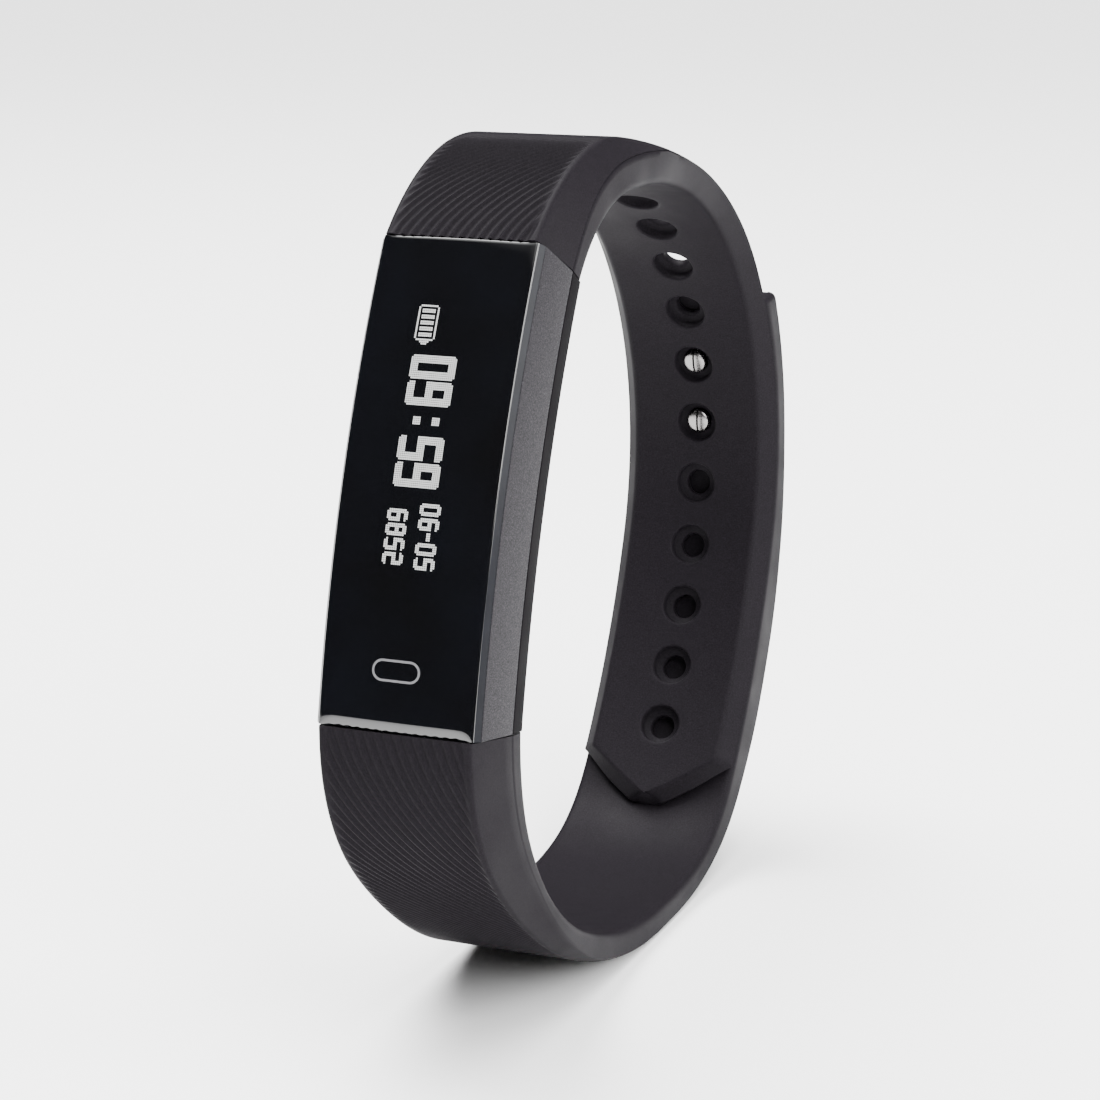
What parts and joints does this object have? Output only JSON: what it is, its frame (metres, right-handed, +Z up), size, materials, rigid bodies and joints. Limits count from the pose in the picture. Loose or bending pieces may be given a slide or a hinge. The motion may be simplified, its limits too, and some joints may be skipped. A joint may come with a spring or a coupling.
{
  "type": "fitness tracker band",
  "caption": "Slim wrist tracker with a dot display module plugged between two soft straps that close with a holed tail and a stud clasp.",
  "frame": {"origin": "middle of the strap's width and of the closed loop's depth, at the lowest line of the clasp strap", "axes": "+X along the wearer's arm across the strap's width, -Y towards the side that the display faces, +Z up towards the holed strap's root"},
  "size_m": [0.016, 0.079, 0.0764],
  "materials": {
    "housing": "sandblasted grey",
    "cover": "satin black",
    "seal": "soft black",
    "lens": "piano black",
    "adhesive": "foam tape",
    "display": "dark glass with lit dots",
    "flex_film": "amber film",
    "board": "green solder mask",
    "chip": "moulded epoxy",
    "metal_can": "plain steel can",
    "ceramic": "fired ceramic",
    "pouch": "foil pouch",
    "wire": "red insulation",
    "tungsten": "sintered heavy alloy",
    "usb_body": "black",
    "gold": "gold plated",
    "strap": "matte charcoal",
    "plate": "satin grey",
    "stud_steel": "polished steel"
  },
  "bodies": {
    "root": {"module_housing": "housing", "back_cover": "cover", "cover_seal": "seal", "front_lens": "lens", "lens_adhesive": "adhesive", "oled_panel": "display", "display_flex": "flex_film", "touch_pad": "flex_film", "main_pcb": "board", "bluetooth_chip": "chip", "accelerometer": "chip", "crystal": "metal_can", "chip_antenna": "ceramic", "charge_chip": "chip", "battery_cell": "pouch", "battery_leads": "wire", "motor_base": "metal_can", "motor_case": "metal_can", "motor_shaft": "metal_can", "usb_tongue": "usb_body", "usb_contacts": "gold", "holed_strap_root": "strap", "clasp_strap_root": "strap"},
    "holed_tail": {"holed_strap_tail": "strap"},
    "clasp_end": {"clasp_strap_end": "strap", "clasp_plate": "plate", "clasp_studs": "stud_steel"},
    "motor_rotor": {"motor_rotor": "tungsten"}
  },
  "joints": [
    {"name": "clasp_end_flex", "type": "hinge", "parent": "root", "child": "clasp_end", "pos_m": [0, 0.03738, 0.03306], "axis": [-1, 0, 0], "range_deg": [0, 55], "stiffness_Nm_per_rad": 0.05},
    {"name": "holed_tail_flex", "type": "hinge", "parent": "root", "child": "holed_tail", "pos_m": [0, 0.02917, 0.05863], "axis": [-1, 0, 0], "range_deg": [0, 20], "stiffness_Nm_per_rad": 0.05},
    {"name": "motor_spin", "type": "hinge", "parent": "root", "child": "motor_rotor", "pos_m": [0, -0.03319, 0.03708], "axis": [0, 0.9397, -0.342], "continuous": true}
  ]
}
